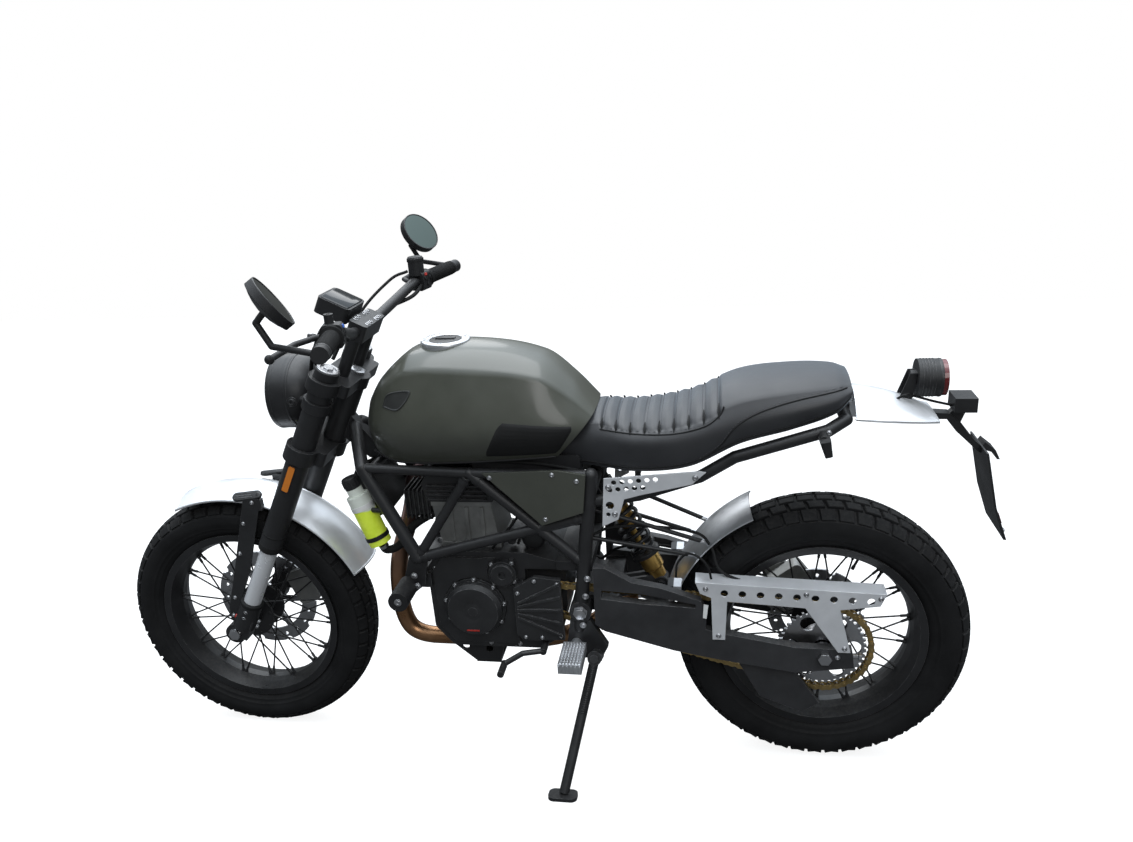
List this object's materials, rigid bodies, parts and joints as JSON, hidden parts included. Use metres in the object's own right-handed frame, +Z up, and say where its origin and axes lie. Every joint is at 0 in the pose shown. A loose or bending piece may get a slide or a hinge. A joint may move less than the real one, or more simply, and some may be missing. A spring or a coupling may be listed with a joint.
{
  "type": "scrambler motorcycle",
  "caption": "Scrambler motorcycle with tube trellis frame, wire wheels, telescopic fork, arched swingarm, bar-end mirrors and flat seat, leaning on its side stand.",
  "frame": {"origin": "middle of the bounding box on the floor, with the motorcycle leaning on its side stand", "axes": "+X forward, +Y to the rider's left, +Z up"},
  "size_m": [2.0664, 0.9262, 1.3045],
  "materials": {
    "satin_black": "satin",
    "engine_black": "painted satin",
    "cast_grey": "cast",
    "bare_aluminium": "brushed",
    "steel": "ground",
    "chrome": "polished",
    "bronze_pipe": "heat tinted",
    "gold_chain": "plated",
    "tank_green": "matte",
    "seat_leather": "grained",
    "black_plastic": "matte",
    "tyre": "matte",
    "rubber": "matte",
    "lens_clear": "clear",
    "lens_red": "gloss",
    "lens_amber": "gloss",
    "bottle": "translucent"
  },
  "bodies": {
    "chassis": {"frame": "satin_black", "rear_rails": "satin_black", "swingarm": "satin_black", "pivot_bolt": "steel", "shock": "satin_black", "engine_case": "engine_black", "engine_covers": "engine_black", "cylinder": "cast_grey", "cylinder_head": "engine_black", "exhaust_pipe": "bronze_pipe", "silencer": "satin_black", "radiator": "engine_black", "coolant_bottle": "bottle", "skid_bracket": "satin_black", "crash_sliders": "black_plastic", "tank": "tank_green", "filler_cap": "bare_aluminium", "seat": "seat_leather", "side_covers": "tank_green", "side_plates": "bare_aluminium", "tail_fender": "bare_aluminium", "tail_lamp": "black_plastic", "plate_hanger": "black_plastic", "rear_lenses": "lens_red", "rear_signals": "black_plastic", "rear_hugger": "bare_aluminium", "chain": "gold_chain", "chain_guard": "bare_aluminium", "footpegs": "bare_aluminium", "foot_levers": "bare_aluminium", "rear_axle": "steel", "rear_caliper": "cast_grey"},
    "steering": {"yokes": "satin_black", "fork_tubes": "satin_black", "fork_stanchions": "chrome", "fork_feet": "satin_black", "front_axle": "steel", "front_caliper": "cast_grey", "handlebar": "satin_black", "grips": "rubber", "bar_controls": "black_plastic", "mirrors": "black_plastic", "headlight": "satin_black", "headlight_lens": "lens_clear", "instrument": "black_plastic", "fork_reflectors": "lens_amber", "front_fender": "bare_aluminium", "fender_stays": "satin_black"},
    "front_wheel": {"front_tyre": "tyre", "front_wheel": "satin_black", "front_disc": "steel"},
    "rear_wheel": {"rear_tyre": "tyre", "rear_wheel": "satin_black", "rear_disc": "steel", "rear_sprocket": "steel"},
    "side_stand": {"side_stand": "satin_black"}
  },
  "joints": [
    {"name": "steering_turn", "type": "hinge", "parent": "chassis", "child": "steering", "pos_m": [0.40559, -0.06751, 0.83976], "axis": [-0.4384, 0.1753, 0.8815], "range_deg": [-30, 30]},
    {"name": "front_wheel_spin", "type": "hinge", "parent": "steering", "child": "front_wheel", "pos_m": [0.71783, -0.17238, 0.31256], "axis": [0, 0.9808, -0.1951], "continuous": true},
    {"name": "rear_wheel_spin", "type": "hinge", "parent": "chassis", "child": "rear_wheel", "pos_m": [-0.67217, -0.17048, 0.3221], "axis": [0, 0.9808, -0.1951], "continuous": true},
    {"name": "side_stand_fold", "type": "hinge", "parent": "chassis", "child": "side_stand", "pos_m": [-0.17217, -0.02304, 0.2842], "axis": [0, 0.9712, 0.2381], "range_deg": [0, 104]}
  ]
}
